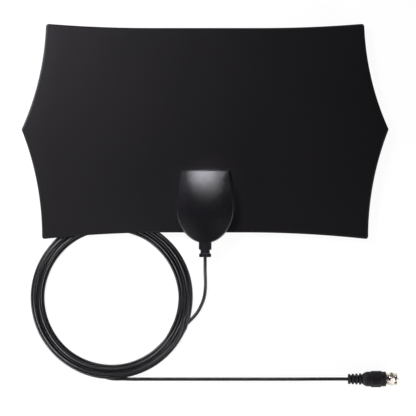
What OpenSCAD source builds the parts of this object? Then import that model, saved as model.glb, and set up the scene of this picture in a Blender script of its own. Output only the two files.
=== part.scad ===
// Flat indoor television antenna: a thin black panel with hollow sides, a moulded case
// on its lower edge, and a coiled cord that ends in a screw-on F plug.
// It lies on its back, with the panel's upper edge towards +Y. All sizes are in millimetres.

/* [Panel] */
// Width from tip to tip
panel_w = 320; // [260:1:400]
// Distance from the line through the tips up to the top corners
panel_up = 92; // [75:1:120]
// Distance from the line through the tips down to the bottom corners
panel_down = 95.5; // [85:1:125]
// Distance between the two top corners
top_corner_w = 278; // [220:1:300]
// Distance between the two bottom corners
bottom_corner_w = 285; // [220:1:305]
// Depth of the hollow in each half of a side edge
side_hollow = 4.7; // [1:0.1:8]
// Length of the straight middle of the top edge
top_flat_w = 96; // [60:1:150]
// Rise of the top edge from its straight middle to a corner
top_rise = 3.8; // [0.5:0.1:8]
// Length of the straight middle of the bottom edge
bottom_flat_w = 70; // [56:1:140]
// Drop of the bottom edge from its straight middle to a corner
bottom_drop = 5.6; // [0.5:0.1:9]
// Size of the rounding at the four corners
corner_r = 2.2; // [0.8:0.1:5]
// Size of the rounding at the two tips
tip_r = 1; // [0.5:0.1:3]
// Thickness of the back sheet
rear_sheet_t = 1; // [0.6:0.1:2]
// Thickness of the front sheet
front_sheet_t = 0.8; // [0.5:0.1:2]
// Width of the bevelled rim round the front sheet
rim_w = 1.4; // [0.6:0.1:3]
// Thickness of the front sheet at its outer edge
rim_t = 0.25; // [0.1:0.05:0.4]

/* [Antenna foils] */
// Thickness of each foil
foil_t = 0.2; // [0.1:0.05:0.3]
// Distance of the foils from the panel's edge
foil_margin = 9; // [4:0.5:20]
// Gap between the two foils
foil_gap = 9; // [6:0.5:12]
// Width of each feed tab
feed_tab_w = 9; // [6.5:0.5:12]
// Height of each foil where it meets its feed tab
foil_waist = 34; // [20:1:60]

/* [Case] */
// Largest width of the case
case_w = 51; // [46:0.5:60]
// Width of the case at its upper end
case_top_w = 45.4; // [42:0.2:56]
// Length of the case
case_len = 64.5; // [60:0.5:76]
// Length of its rounded lower end
nose_len = 31.8; // [26:0.2:36]
// Distance that the case reaches below the panel's straight bottom edge
case_below = 9.8; // [9:0.2:14]
// Rounding of the case's two upper corners
case_corner_r = 1.8; // [0.8:0.1:4]
// Wall of both covers
wall = 1.8; // [1.2:0.1:2.4]
// Height of the rear cover under the panel
rear_h = 5.9; // [5.9:0.1:9]
// Chamfer round the foot of the rear cover
foot_chamfer = 1; // [0.4:0.1:1.6]
// Height of the front cover's face at its upper edge
face_top_h = 6.4; // [5.6:0.1:9]
// Height of the front cover's face at its lower end
face_nose_h = 6.2; // [5.9:0.1:9]
// Height of the front cover at its crown
crown_h = 10; // [9.2:0.1:14]
// Distance that the walls lean in at the upper corners
draft_corner = 2.8; // [1:0.1:4]
// Distance that the walls lean in at the sides and the lower end
draft_side = 1; // [0.5:0.1:2]
// Rounding between the walls and the face
face_fillet = 1.3; // [0.6:0.1:2]

/* [Screws and board] */
// Radius of the screws' shanks
screw_r = 1.2; // [0.9:0.05:1.4]
// Radius of the screws' heads
screw_head_r = 2.3; // [2:0.05:2.5]
// Thickness of the screws' heads
screw_head_h = 1.4; // [1:0.1:1.8]
// Depth of the screw heads below the foot
screw_sunk = 0.5; // [0.2:0.1:1]
// Distance from the middle to each upper screw
screw_upper_x = 16.6; // [15.8:0.1:17]
// Distance from the middle to each lower screw
screw_lower_x = 15.6; // [15.5:0.1:16]
// Distance of the upper screws from the case's upper end
screw_upper_in = 6.6; // [6:0.1:8]
// Distance of the lower screws from the case's lower end
screw_lower_in = 16.4; // [16:0.1:20]
// Clearance of a screw in its plain holes
screw_gap = 0.2; // [0.1:0.05:0.3]
// Width of the circuit board
board_w = 24; // [22:0.5:24.5]
// Length of the circuit board
board_len = 37; // [32:0.5:38]
// Thickness of the circuit board
board_t = 1; // [0.6:0.1:1.2]
// Distance of the board from the case's upper end
board_in = 11; // [9:0.5:12]
// Radius of the contact rivets' shanks
rivet_r = 1; // [0.6:0.1:1.2]
// Radius of the contact rivets' heads
rivet_head_r = 1.9; // [1.5:0.1:2.4]
// Thickness of the contact rivets' heads
rivet_head_h = 0.5; // [0.3:0.1:0.8]
// Width of the two-hole ferrite core
core_w = 7.5; // [6.8:0.1:9]
// Length of the ferrite core
core_len = 6; // [4:0.5:8]
// Height of the ferrite core
core_h = 4; // [3.2:0.1:4.2]
// Radius of the core's two holes
core_hole_r = 0.9; // [0.6:0.05:1]
// Radius of the wire on the core
winding_r = 0.35; // [0.2:0.05:0.4]

/* [Strain relief] */
// Width of the block
relief_w = 11.2; // [10:0.1:13]
// Thickness of the block and the flange
relief_h = 6.4; // [5.8:0.1:7.4]
// Length of the block
block_len = 5.6; // [4:0.1:8]
// Length of the neck between block and flange
neck_len = 3.2; // [2:0.1:5]
// Width of the neck
neck_w = 8.2; // [6.6:0.1:9]
// Length of the flange
flange_len = 3.2; // [2.2:0.1:5]
// Width of the flange
flange_w = 10.6; // [9.4:0.1:13]
// Width of the spine that the slots leave in the middle
spine_w = 4; // [3.6:0.1:5]
// Width of the part that passes through the case wall
throat_w = 7; // [5:0.1:8]
// Height of the part that passes through the case wall
throat_h = 4.6; // [3.8:0.1:4.6]
// Clearance of the relief in the case wall
throat_gap = 0.1; // [0.05:0.05:0.2]

/* [Cord] */
// Diameter of the cord
cord_d = 2.7; // [2.3:0.1:2.9]
// Inner radius of the coil
coil_inner_r = 58.5; // [50:0.5:62]
// Outer radius of the coil
coil_outer_r = 70.4; // [68:0.1:80]
// Height of the coil
coil_h = 5.6; // [4:0.1:5.7]
// Distance of the coil's centre to the left of the middle
coil_left = 81.9; // [80:0.1:100]
// Distance of the coil's centre below the panel's straight bottom edge
coil_below = 57.6; // [55:0.1:70]

/* [Plug] */
// Distance of the boot's rear end to the right of the middle
plug_right = 125; // [110:1:180]
// Height of the plug's axis
plug_axis_z = 7.3; // [7.25:0.05:9]
// Radius of the ribs at the boot's rear end
rib_rear_r = 4.4; // [3.8:0.1:5]
// Radius of the ribs next to the flare
rib_front_r = 5; // [4.4:0.1:5.8]
// Radius of the grooves between the ribs
groove_r = 3.5; // [2.8:0.1:3.7]
// Number of ribs
rib_count = 4; // [3:1:5]
// Distance from one rib to the next
rib_pitch = 3.2; // [2.6:0.1:4]
// Length of the flare
flare_len = 4.4; // [3:0.1:6]
// Radius of the boot's grip
grip_r = 6.5; // [6.2:0.1:6.8]
// Length of the boot's grip
grip_len = 16; // [14:0.5:22]
// Length of each grip pad
pad_len = 9.4; // [7:0.1:10]
// Width of each grip pad
pad_w = 5.8; // [4:0.1:6.2]
// Height of each grip pad above the grip
pad_h = 0.75; // [0.3:0.05:0.9]
// Radius of the crimp barrel inside the boot
barrel_r = 3.6; // [3.2:0.1:4.2]
// Length of the crimp barrel
barrel_len = 10; // [7:0.5:12]
// Radius of the shoulder behind the nut
shoulder_r = 5.1; // [4.8:0.1:5.3]
// Length of the shoulder
shoulder_len = 2.5; // [1.5:0.1:4]
// Distance across the nut's flats
nut_flats = 11; // [10.6:0.1:13]
// Length of the nut's hexagon
hex_len = 4.4; // [3.6:0.1:7]
// Length of the nut's round collar
collar_len = 2.6; // [1.5:0.1:5]
// Radius of the nut's round collar
collar_r = 5.2; // [5.1:0.05:5.3]
// Radius of the nut's threaded bore
thread_r = 4.6; // [4.4:0.05:4.7]
// Thickness of the nut's rear wall
nut_rear_wall = 1.4; // [1:0.1:1.8]
// Radius of the post that the nut turns on
post_r = 3.2; // [2.8:0.1:3.6]
// Radius of the flange that keeps the nut on
keeper_r = 4.2; // [4:0.05:4.3]
// Thickness of that flange
keeper_t = 0.9; // [0.6:0.1:1.2]
// Wall of the body's barrel and post
body_wall = 0.8; // [0.5:0.05:1]
// Radial clearance between nut and post
nut_gap = 0.05; // [0.02:0.01:0.09]
// Clearance at each end of the nut
nut_end_gap = 0.12; // [0.05:0.01:0.2]
// Radius of the centre pin
pin_r = 0.45; // [0.3:0.05:0.55]
// Distance that the centre pin stands out of the nut
pin_out = 1.8; // [0.5:0.1:4]

/* [Hidden] */

$fn = 48;
eps = 0.01;

// Heights of the stack, from the surface that the antenna lies on.
sheet_z = rear_h;
foil_z = sheet_z + rear_sheet_t - foil_t;
front_z = sheet_z + rear_sheet_t;
cover_z = front_z + front_sheet_t;
board_top_z = cover_z + board_t;
cord_r = cord_d / 2;
seat_gap = 0.05;
entry_z = board_top_z + cord_r + seat_gap;

// The row of places along Y. The origin lies halfway between the highest corner and the end
// of the strain relief.
bottom_drop_y = panel_down - bottom_drop;
relief_len = block_len + neck_len + flange_len;
tip_y = (bottom_drop_y + case_below + relief_len - panel_up) / 2;
top_y = tip_y + panel_up;
bottom_y = tip_y - bottom_drop_y;
case_end_y = bottom_y - case_below;
case_top_y = case_end_y + case_len;
case_wide_y = case_end_y + nose_len;
relief_end_y = case_end_y - relief_len;
coil_x = -coil_left;
coil_y = bottom_y - coil_below;
plug_y = coil_y - coil_outer_r - 0.5;

// Points of the circular arc from a to b that bulges to the left of its chord by sag,
// without b itself. A negative sag makes it hollow.
function arc_to(a, b, sag, steps) =
    let (chord = norm(b - a), along = (b - a) / chord, side = [-along[1], along[0]],
         r = (chord * chord / 4 + sag * sag) / (2 * abs(sag)), turn = sign(sag),
         half = asin(chord / 2 / r), mid = (a + b) / 2,
         centre = mid + side * (sag - turn * r))
    [for (i = [0:steps - 1])
        let (t = -half + 2 * half * i / steps) centre + r * (along * sin(t) + side * turn * cos(t))];

// Rounds the corner c between its neighbours a and b with a curve that starts r away from c.
function rounded(a, c, b, r, steps = 4) =
    let (p = c + r * (a - c) / norm(a - c), q = c + r * (b - c) / norm(b - c))
    [for (i = [0:steps]) let (t = i / steps) (1 - t) * (1 - t) * p + 2 * t * (1 - t) * c + t * t * q];

function tail(points) = [for (i = [1:len(points) - 1]) points[i]];
function mirrored(points) = [for (i = [len(points) - 1:-1:0]) [-points[i][0], points[i][1]]];

// Right half of the panel's outline, from the middle of the bottom edge round to the top.
tip = [panel_w / 2, tip_y];
low_corner = [bottom_corner_w / 2, tip_y - panel_down];
high_corner = [top_corner_w / 2, top_y];
low_flat = [bottom_flat_w / 2, bottom_y];
high_flat = [top_flat_w / 2, top_y - top_rise];
low_edge = arc_to(low_flat, low_corner, abs(low_flat[1] - low_corner[1]) / 4, 6);
low_side = tail(arc_to(low_corner, tip, side_hollow, 12));
high_side = tail(arc_to(tip, high_corner, side_hollow, 12));
high_edge = tail(arc_to(high_corner, high_flat, abs(high_corner[1] - high_flat[1]) / 4, 6));
half_outline = concat(low_edge, rounded(low_edge[5], low_corner, low_side[0], corner_r),
                      low_side, rounded(low_side[10], tip, high_side[0], tip_r), high_side,
                      rounded(high_side[10], high_corner, high_edge[0], corner_r), high_edge,
                      [high_flat]);
panel_outline = concat(half_outline, mirrored(half_outline));

// Moves every point of a closed outline inwards by d, along the line between its two sides.
function inset(points, d) =
    let (n = len(points))
    [for (i = [0:n - 1])
        let (u = points[i] - points[(i + n - 1) % n], v = points[(i + 1) % n] - points[i],
             a = [-u[1], u[0]] / norm(u), b = [-v[1], v[0]] / norm(v))
        points[i] + d * (a + b) / (1 + a * b)];

function at_height(points, z) = [for (p = points) [p[0], p[1], z]];

// Closed skin through rings with the same number of points. The first and the last are flat.
module loft(rings) {
    n = len(rings[0]);
    m = len(rings);
    polyhedron(
        points = [for (ring = rings) each ring],
        faces = concat(
            [[for (i = [0:n - 1]) i]],
            [for (k = [0:m - 2], i = [0:n - 1])
                [k * n + i, (k + 1) * n + i, (k + 1) * n + (i + 1) % n, k * n + (i + 1) % n]],
            [[for (i = [n - 1:-1:0]) (m - 1) * n + i]]),
        convexity = 8);
}

// Outline of the case, moved in by the given distances at its sides, upper corners, upper end
// and lower end: a half ellipse below, and above it sides that draw in towards the upper end.
nose_steps = 9;
side_steps = 5;
function case_outline(side_in, corner_in, top_in, nose_in) =
    let (w = case_w / 2 - side_in, w_top = case_top_w / 2 - corner_in,
         y_top = case_top_y - top_in, nose = nose_len - nose_in, length = y_top - case_wide_y,
         near = case_corner_r / length,
         half = concat(
             [for (i = [0:nose_steps]) let (a = 90 - 90 * i / nose_steps)
                 [w * cos(a), case_wide_y - nose * sin(a)]],
             [for (i = [1:side_steps - 1]) let (s = 1 - (1 - near) * i / side_steps)
                 [w - (w - w_top) * pow(1 - s, 1.6), y_top - s * length]],
             rounded([w - (w - w_top) * pow(1 - near, 1.6), y_top - case_corner_r],
                     [w_top, y_top], [0, y_top], case_corner_r)))
    concat(half, mirrored(tail(half)));

case_outer = case_outline(0, 0, 0, 0);
case_inner = case_outline(wall, wall, wall, wall);
face_outer = case_outline(draft_side, draft_corner, draft_side, draft_side);
face_inner = case_outline(draft_side + wall, draft_corner + wall, draft_side + wall,
                          draft_side + wall);
crown_at = [0, case_wide_y + 2];

function mixed(a, b, t) = [for (i = [0:len(a) - 1]) a[i] + t * (b[i] - a[i])];
function shrunk(points, s) = [for (p = points) crown_at + s * (p - crown_at)];

// Height of the face's edge above the panel, from the lower end to the upper one.
function edge_h(y) = face_nose_h + (face_top_h - face_nose_h) * (y - case_end_y) / case_len;
// The face keeps a crisp edge at its upper end and is rounded elsewhere.
function fillet_at(y) = y > case_top_y - wall - draft_side ? face_fillet / 4 : face_fillet;
function lifted(points, edge, below) =
    [for (i = [0:len(points) - 1])
        [points[i][0], points[i][1], cover_z + edge_h(edge[i][1]) - below * fillet_at(edge[i][1])]];
// A ring of the dome: each ray from the crown to the edge is a parabola.
function dome_ring(edge, s, down) =
    [for (p = edge)
        let (q = crown_at + s * (p - crown_at), h = edge_h(p[1]))
        [q[0], q[1], cover_z + h + (crown_h - h) * (1 - s * s) - down]];

crown_s = 0.06;
dome_steps = [0.94, 0.84, 0.68, 0.48, 0.26];
outer_crown = at_height(shrunk(face_outer, crown_s), cover_z + crown_h);
inner_crown = at_height(shrunk(face_inner, crown_s), cover_z + crown_h - wall);
outer_skin = concat(
    [at_height(case_outer, cover_z)],
    [lifted(mixed(case_outer, face_outer, 0.55), face_outer, 1)],
    [lifted(mixed(case_outer, face_outer, 0.72), face_outer, 0.42)],
    [lifted(mixed(case_outer, face_outer, 0.9), face_outer, 0.1)],
    [lifted(face_outer, face_outer, 0)],
    [for (s = dome_steps) dome_ring(face_outer, s, 0)],
    [outer_crown]);
inner_skin = concat(
    [inner_crown],
    [for (i = [len(dome_steps) - 1:-1:1]) dome_ring(face_inner, dome_steps[i], wall)],
    [lifted(face_inner, face_inner, 1.6)],
    [at_height(case_inner, cover_z)]);

upper_screw = [screw_upper_x, case_top_y - screw_upper_in];
lower_screw = [screw_lower_x, case_end_y + screw_lower_in];
screw_places = [upper_screw, lower_screw, [-upper_screw[0], upper_screw[1]],
                [-lower_screw[0], lower_screw[1]]];
post_r_case = screw_head_r + 0.8;
boss_r = screw_r + 1.2;
screw_top_z = cover_z + 4.2;
shank_z = screw_sunk + screw_head_h;
sunk_r = screw_head_r + 0.15;

board_top_y = case_top_y - board_in;
board_end_y = board_top_y - board_len;
rivet_x = (foil_gap + feed_tab_w) / 2;
rivet_y = board_top_y - 5;
core_y = board_top_y - 14;
joint_y = core_y - core_len / 2 - 5.5;
clamp_y = board_end_y + 4.5;
jacket_top_y = clamp_y + 4;
clamp_t = 0.5;
clamp_len = 3;
dielectric_r = 0.8;
conductor_r = 0.25;

// Panel

// One half of the dipole, on the right: the panel's outline cut to a bow tie, with its feed tab.
module foil_shape() {
    near = foil_gap / 2;
    intersection() {
        offset(delta = -foil_margin) polygon(panel_outline);
        polygon([[near, tip_y - foil_waist / 2], [panel_w / 2, tip_y - panel_down],
                 [panel_w / 2, top_y], [near, tip_y + foil_waist / 2]]);
    }
    translate([near, rivet_y - feed_tab_w / 2])
        square([feed_tab_w, tip_y - rivet_y + feed_tab_w / 2]);
}

module panel_holes(z, h) {
    for (p = screw_places) translate([p[0], p[1], z - 1])
        cylinder(r = screw_r + screw_gap, h = h + 2);
    for (side = [-1, 1]) translate([side * rivet_x, rivet_y, z - 1])
        cylinder(r = rivet_r + seat_gap, h = h + 2);
}

module rear_sheet() {
    color("#1c1c1f") difference() {
        translate([0, 0, sheet_z]) linear_extrude(rear_sheet_t) polygon(panel_outline);
        for (side = [0, 1]) mirror([side, 0, 0]) translate([0, 0, foil_z])
            linear_extrude(foil_t + 1) offset(delta = seat_gap) foil_shape();
        panel_holes(sheet_z, rear_sheet_t);
    }
}

module front_sheet() {
    rim = inset(panel_outline, rim_w);
    color("#26252a") difference() {
        translate([0, 0, front_z])
            loft([at_height(panel_outline, 0), at_height(panel_outline, rim_t),
                  at_height(rim, front_sheet_t)]);
        panel_holes(front_z, front_sheet_t);
    }
}

module element(side) {
    color("#b87333") difference() {
        mirror([side, 0, 0]) translate([0, 0, foil_z]) linear_extrude(foil_t) foil_shape();
        panel_holes(foil_z, foil_t);
    }
}
module left_element() { element(1); }
module right_element() { element(0); }

// Case

module front_cover() {
    color("#1a191e") difference() {
        union() {
            loft(concat(inner_skin, outer_skin));
            intersection() {
                loft(outer_skin);
                for (p = screw_places) translate([p[0], p[1], cover_z])
                    cylinder(r = boss_r, h = crown_h);
            }
        }
        for (p = screw_places) translate([p[0], p[1], cover_z - 1])
            cylinder(r = screw_r + seat_gap, h = screw_top_z - cover_z + 1.4);
        translate([-throat_w / 2 - throat_gap, case_end_y - 1, cover_z - 1])
            cube([throat_w + 2 * throat_gap, wall + 3,
                  entry_z + throat_h / 2 + throat_gap - cover_z + 1]);
    }
}

module rear_cover() {
    floor_t = wall;
    color("#17161a") difference() {
        union() {
            loft([at_height(inset(case_outer, foot_chamfer), 0),
                  at_height(case_outer, foot_chamfer), at_height(case_outer, rear_h),
                  at_height(case_inner, rear_h), at_height(case_inner, floor_t)]);
            for (p = screw_places) translate([p[0], p[1], foot_chamfer])
                cylinder(r = post_r_case, h = rear_h - foot_chamfer);
            // The lip closes the case past the panel's bottom edge.
            translate([0, 0, rear_h - eps]) linear_extrude(cover_z - rear_h + eps) difference() {
                polygon(case_outer);
                polygon(case_inner);
                translate([-case_w, bottom_y - seat_gap]) square([2 * case_w, 2 * case_len]);
            }
        }
        for (p = screw_places) translate([p[0], p[1], -1]) {
            cylinder(r = screw_r + screw_gap, h = rear_h + 2);
            cylinder(r = sunk_r, h = shank_z + 1);
        }
    }
}

module cover_screws() {
    color("silver") for (p = screw_places) translate([p[0], p[1], 0]) {
        difference() {
            translate([0, 0, screw_sunk]) union() {
                cylinder(r = screw_head_r, h = screw_head_h);
                cylinder(r = screw_r, h = screw_top_z - screw_sunk);
            }
            for (turn = [0, 90]) rotate(turn) translate([-1.3, -0.3, screw_sunk - 1])
                cube([2.6, 0.6, 1.8]);
        }
    }
}

// Board and the parts on it

module circuit_board() {
    color("#2f6b3a") difference() {
        translate([-board_w / 2, board_end_y, cover_z]) cube([board_w, board_len, board_t]);
        for (side = [-1, 1]) translate([side * rivet_x, rivet_y, cover_z - 1])
            cylinder(r = rivet_r + seat_gap, h = board_t + 2);
    }
}

module contact_rivets() {
    low = sheet_z - rivet_head_h;
    color("gold") for (side = [-1, 1]) translate([side * rivet_x, rivet_y, 0]) {
        translate([0, 0, low]) cylinder(r = rivet_head_r, h = rivet_head_h);
        translate([0, 0, low]) cylinder(r = rivet_r, h = board_top_z - low + rivet_head_h);
        translate([0, 0, board_top_z]) cylinder(r = rivet_head_r, h = rivet_head_h);
    }
}

hole_x = core_w / 4;
module balun_core() {
    color("#3a3a3d") translate([0, core_y, board_top_z]) difference() {
        translate([-core_w / 2, -core_len / 2, 0]) cube([core_w, core_len, core_h]);
        for (side = [-1, 1]) translate([side * hole_x, 0, core_h / 2]) rotate([90, 0, 0])
            cylinder(r = core_hole_r, h = core_len + 2, center = true);
    }
}

// One turn of wire, which rests on the floor of both holes.
module balun_winding() {
    lift = core_h / 2 - core_hole_r + winding_r;
    reach = core_len / 2 + 0.4;
    color("#a5642c") translate([0, core_y, board_top_z + lift]) {
        for (side = [-1, 1]) translate([side * hole_x, 0, 0]) rotate([90, 0, 0])
            cylinder(r = winding_r, h = 2 * reach, center = true);
        for (end = [-1, 1]) translate([0, end * reach, 0])
            rotate([0, 0, end > 0 ? 0 : 180])
                rotate_extrude(angle = 180) translate([hole_x, 0]) circle(r = winding_r);
    }
}

module chip_parts() {
    color("#c9b98f") for (side = [-1, 1], row = [0, 1])
        translate([side * (board_w / 2 - 3.4) - 1, core_y + 1 - row * 7, board_top_z])
            cube([2, 1.25, 0.9]);
}

module braid_clamp() {
    inner = cord_r + seat_gap;
    outer = inner + clamp_t;
    color("#c8c8cc") translate([0, clamp_y, entry_z]) rotate([90, 0, 0])
        translate([0, 0, -clamp_len / 2]) linear_extrude(clamp_len) difference() {
            union() {
                circle(r = outer);
                translate([-outer, board_top_z - entry_z]) square([2 * outer, entry_z - board_top_z]);
                translate([-outer - 2, board_top_z - entry_z]) square([2 * outer + 4, clamp_t]);
            }
            circle(r = inner);
            translate([-inner, board_top_z - entry_z - 1]) square([2 * inner, inner + 1]);
            translate([-2 * outer, board_top_z - entry_z - 2 * outer]) square([4 * outer, 2 * outer]);
        }
}

module solder_joint() {
    color("#d0d0d4") translate([0, joint_y, board_top_z]) difference() {
        intersection() {
            cylinder(r1 = 1.7, r2 = 0.5, h = entry_z - board_top_z + 0.6);
            translate([-3, -3, 0]) cube(6);
        }
        translate([0, 0.4, entry_z - board_top_z]) rotate([90, 0, 0])
            cylinder(r = conductor_r + eps, h = 8);
    }
}

module along_entry(from_y, to_y, r) {
    translate([0, from_y, entry_z]) rotate([-90, 0, 0]) cylinder(r = r, h = to_y - from_y);
}
module entry_jacket() { color("#151517") along_entry(relief_end_y, jacket_top_y, cord_r); }
module entry_dielectric() { color("white") along_entry(jacket_top_y, jacket_top_y + 2, dielectric_r); }
module entry_conductor() {
    color("#b87333") along_entry(jacket_top_y + 2, joint_y + 0.4 - eps, conductor_r);
}

// Strain relief

module slab(w, from_y, length, h, r) {
    translate([0, from_y - length, entry_z]) rotate([-90, 0, 0]) linear_extrude(length) {
        square([w - 2 * r, h], center = true);
        square([w, h - 2 * r], center = true);
        for (x = [-1, 1], y = [-1, 1]) translate([x * (w / 2 - r), y * (h / 2 - r)]) circle(r = r);
    }
}

module strain_relief() {
    block_y = case_end_y - seat_gap;
    flange_y = relief_end_y + flange_len;
    slot_w = (neck_w - spine_w) / 2 + 0.2;
    color("#151418") difference() {
        union() {
            slab(relief_w, block_y, block_len - seat_gap, relief_h, 1.4);
            slab(neck_w, block_y - block_len + 1, neck_len + 1 + eps, relief_h - 1, 1.4);
            slab(flange_w, flange_y, flange_len, relief_h, 1.5);
            // Throat through the case wall, and the head that locks behind it.
            slab(throat_w, case_end_y + wall + 1.6, wall + 3, throat_h, 1);
            slab(throat_w + 3, case_end_y + wall + 3.2, 1.6, throat_h - 1.1, 1);
        }
        // Slots on both sides of the spine, in front and behind.
        for (side = [-1, 1], face = [-1, 1], place = [0, 1])
            translate([side * (spine_w + slot_w) / 2,
                       place == 0 ? block_y - block_len / 2 : flange_y - flange_len / 2,
                       entry_z + face * relief_h / 2])
                cube([slot_w, place == 0 ? block_len - 2.4 : flange_len - 1.4, 1.8], center = true);
        translate([0, relief_end_y - 1, entry_z]) rotate([-90, 0, 0])
            cylinder(r = cord_r + seat_gap, h = relief_len + wall + 8);
    }
}

// Cord

// A tube with eight flat sides through points, each ring square to the path.
function unit(v) = v / norm(v);
function ring_at(p, along, r) =
    let (side = unit(cross(along, [0, 0, 1])), up = cross(side, along))
    [for (i = [0:7]) p + r * (cos(45 * i + 22.5) * side + sin(45 * i + 22.5) * up)];
module tube(path, start, end, r) {
    last = len(path) - 1;
    rings = [for (i = [0:last])
        ring_at(path[i], i == 0 ? start : i == last ? end : unit(path[i + 1] - path[i - 1]), r)];
    polyhedron(
        points = [for (ring = rings) each ring],
        faces = concat(
            [[for (i = [7:-1:0]) i]],
            [for (k = [0:last - 1], i = [0:7])
                [k * 8 + i, k * 8 + (i + 1) % 8, (k + 1) * 8 + (i + 1) % 8, (k + 1) * 8 + i]],
            [[for (i = [0:7]) last * 8 + i]]),
        convexity = 6);
}

// The cord falls from the relief to the surface and runs under the edge of the coil.
lead_path = [[0, 0, 0], [0, -6, -0.6], [0, -12, -2.4], [0.2, -18, -4.9], [0.3, -24, -7.1],
             [0, -30, -8.3], [-1, -36, -8.7], [-3.2, -42, -8.7], [-6.4, -48, -8.7],
             [-10.4, -53, -8.7], [-14.4, -57, -8.7]];
// The loop under the panel, from the coil's outermost turn back to its underside.
turnback_path = [[0, 69, 3.2], [7, 69.2, 2.6], [14, 70.2, 1.8], [21, 72.6, 1.35], [27, 76.6, 1.35],
                 [31, 82.4, 1.35], [32.4, 89, 1.35], [31, 95.6, 1.35], [27, 101.2, 1.35],
                 [21, 104.8, 1.35], [14, 106, 1.35], [7, 105.2, 1.35], [0, 102.6, 1.35],
                 [-6, 98.8, 1.35], [-12, 94, 1.35], [-18, 88.4, 1.35], [-23.4, 82.4, 1.35],
                 [-28.4, 76, 1.35], [-32.6, 69.6, 1.35], [-36, 63.4, 1.35], [-38.8, 57.4, 1.35]];
// The straight run to the plug, which climbs to the plug's axis at its end.
tail_path = [for (x = [0:7.5:150]) [x, 0, 0]];
tail_climb = [[157, 0, 0], [164, 0, 0.3], [171, 0, 1.2], [178, 0, 2.5], [185, 0, 3.9],
              [192, 0, 5.1], [199, 0, 5.8]];
tail_start_x = coil_x + 1;

module cord_lead() {
    color("#18181a") translate([0, relief_end_y, entry_z])
        tube(lead_path, [0, -1, 0], unit([-0.7, -0.7, 0]), cord_r);
}
module cord_turnback() {
    color("#18181a") translate([coil_x, coil_y, 0])
        tube(turnback_path, [1, 0, 0], unit([-0.45, -0.85, 0]), cord_r);
}
module cord_tail() {
    reach = plug_right - tail_start_x;
    run = concat(tail_path, tail_climb, [[reach, 0, plug_axis_z - cord_r]]);
    color("#18181a") translate([tail_start_x, plug_y, cord_r])
        tube(run, [1, 0, 0], [1, 0, 0], cord_r);
}
module cord_coil() {
    w = coil_outer_r - coil_inner_r;
    color("#18181a") translate([coil_x, coil_y, 0]) rotate_extrude($fn = 96)
        translate([(coil_inner_r + coil_outer_r) / 2, coil_h / 2]) {
            square([w - cord_d, coil_h], center = true);
            square([w, coil_h - cord_d], center = true);
            for (x = [-1, 1], y = [-1, 1])
                translate([x * (w / 2 - cord_r), y * (coil_h / 2 - cord_r)]) circle(r = cord_r);
        }
}

// Plug, drawn along its own axis and then laid along X

ribs_len = rib_count * rib_pitch;
grip_x = ribs_len + flare_len;
boot_len = grip_x + grip_len;
shoulder_x = boot_len;
nut_x = shoulder_x + shoulder_len + nut_end_gap;
keeper_x = nut_x + nut_rear_wall + nut_end_gap;
nut_end_x = nut_x + hex_len + collar_len;
barrel_x = boot_len - barrel_len;
bore_r = post_r - body_wall;
pin_root_r = pin_r + 0.25;
pin_root_x = barrel_x + 3;
bead_end_x = keeper_x + keeper_t;

module on_plug_axis() {
    translate([plug_right, plug_y, plug_axis_z]) rotate([0, 90, 0]) children();
}

// Half section of the boot: ribs with round edges, the flare and the grip.
function rib_r(i) = rib_rear_r + (rib_front_r - rib_rear_r) * i / (rib_count - 1);
rib_outline = [for (i = [0:rib_count - 1], p = [[0, -0.45], [0.12, -0.1], [0.3, 0], [0.45, -0.1],
                                               [0.58, -0.45]])
    [rib_r(i) + p[1], (i + p[0]) * rib_pitch]];
groove_outline = [for (i = [0:rib_count - 1], p = [0.64, 0.94]) [groove_r, (i + p) * rib_pitch]];
boot_section = concat(
    [[0, 0]],
    [for (i = [0:rib_count - 1]) each concat([for (k = [0:4]) rib_outline[5 * i + k]],
                                             [groove_outline[2 * i], groove_outline[2 * i + 1]])],
    [for (k = [0:6]) let (t = k / 6)
        [rib_front_r - 0.3 + (grip_r - rib_front_r + 0.3) * sin(90 * t), ribs_len + flare_len * t]],
    [[grip_r, boot_len - 0.8], [grip_r - 0.25, boot_len - 0.25], [grip_r - 0.8, boot_len],
     [0, boot_len]]);

module grip_pad() {
    flat = pad_len - pad_w;
    intersection() {
        translate([0, 0, grip_x + grip_len / 2 - 0.6]) rotate([0, 90, 0]) linear_extrude(grip_r + pad_h) {
            square([flat, pad_w], center = true);
            for (end = [-1, 1]) translate([end * flat / 2, 0]) circle(r = pad_w / 2);
        }
        translate([0, 0, grip_x]) cylinder(r = grip_r + pad_h, h = grip_len);
    }
}

module plug_boot() {
    color("#1b1a1d") on_plug_axis() difference() {
        union() {
            rotate_extrude($fn = 64) polygon(boot_section);
            for (turn = [0:90:270]) rotate(turn) grip_pad();
        }
        translate([0, 0, -1]) cylinder(r = cord_r + seat_gap, h = boot_len + 2);
        translate([0, 0, barrel_x]) cylinder(r = barrel_r + seat_gap, h = boot_len);
    }
}

module plug_jacket_end() {
    color("#151517") on_plug_axis() cylinder(r = cord_r, h = pin_root_x - seat_gap);
}

module plug_body() {
    color("#cfcabc") on_plug_axis() difference() {
        union() {
            translate([0, 0, barrel_x]) cylinder(r = barrel_r, h = barrel_len + eps);
            translate([0, 0, shoulder_x + seat_gap]) cylinder(r = shoulder_r, h = shoulder_len - seat_gap);
            translate([0, 0, shoulder_x]) cylinder(r = post_r, h = keeper_x + keeper_t - shoulder_x);
            translate([0, 0, keeper_x]) cylinder(r = keeper_r, h = keeper_t);
        }
        translate([0, 0, barrel_x - 1]) cylinder(r = bore_r, h = boot_len);
    }
}

module plug_insulator() {
    color("white") on_plug_axis() translate([0, 0, pin_root_x]) difference() {
        cylinder(r = bore_r - seat_gap, h = bead_end_x - pin_root_x);
        translate([0, 0, -1]) cylinder(r = pin_root_r + seat_gap, h = boot_len);
    }
}

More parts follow.
